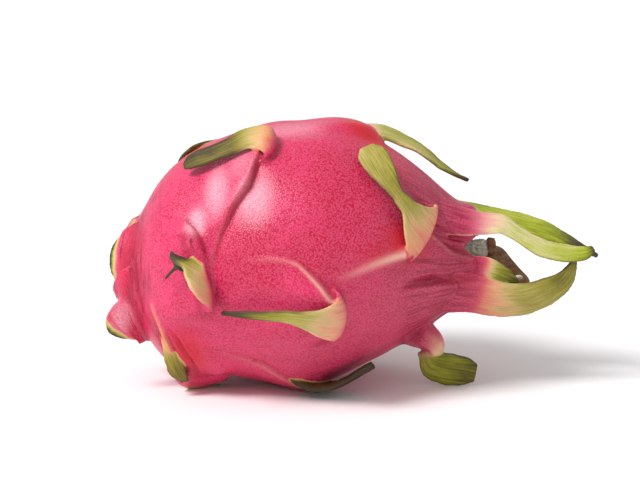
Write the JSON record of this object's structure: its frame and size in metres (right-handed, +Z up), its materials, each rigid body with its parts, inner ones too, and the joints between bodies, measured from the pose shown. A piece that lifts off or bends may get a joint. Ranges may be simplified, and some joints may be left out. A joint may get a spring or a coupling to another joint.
{
  "type": "dragon fruit",
  "caption": "Whole pink dragon fruit lying on its side, oval with a narrowing neck, folded leafy scales and long green-tipped crown bracts.",
  "frame": {"origin": "centre of the small flat spot under the widest place, on which the fruit rests", "axes": "+X along the fruit from its stem end to its crown, +Z up"},
  "size_m": [0.1727, 0.1056, 0.0932],
  "materials": {
    "rind": "waxy, semi-gloss fruit rind, pink with green scale tips",
    "dried_flower": "matt, brown, papery dried plant"
  },
  "bodies": {
    "root": {"fruit": "rind", "withered_flower": "dried_flower"}
  },
  "joints": []
}
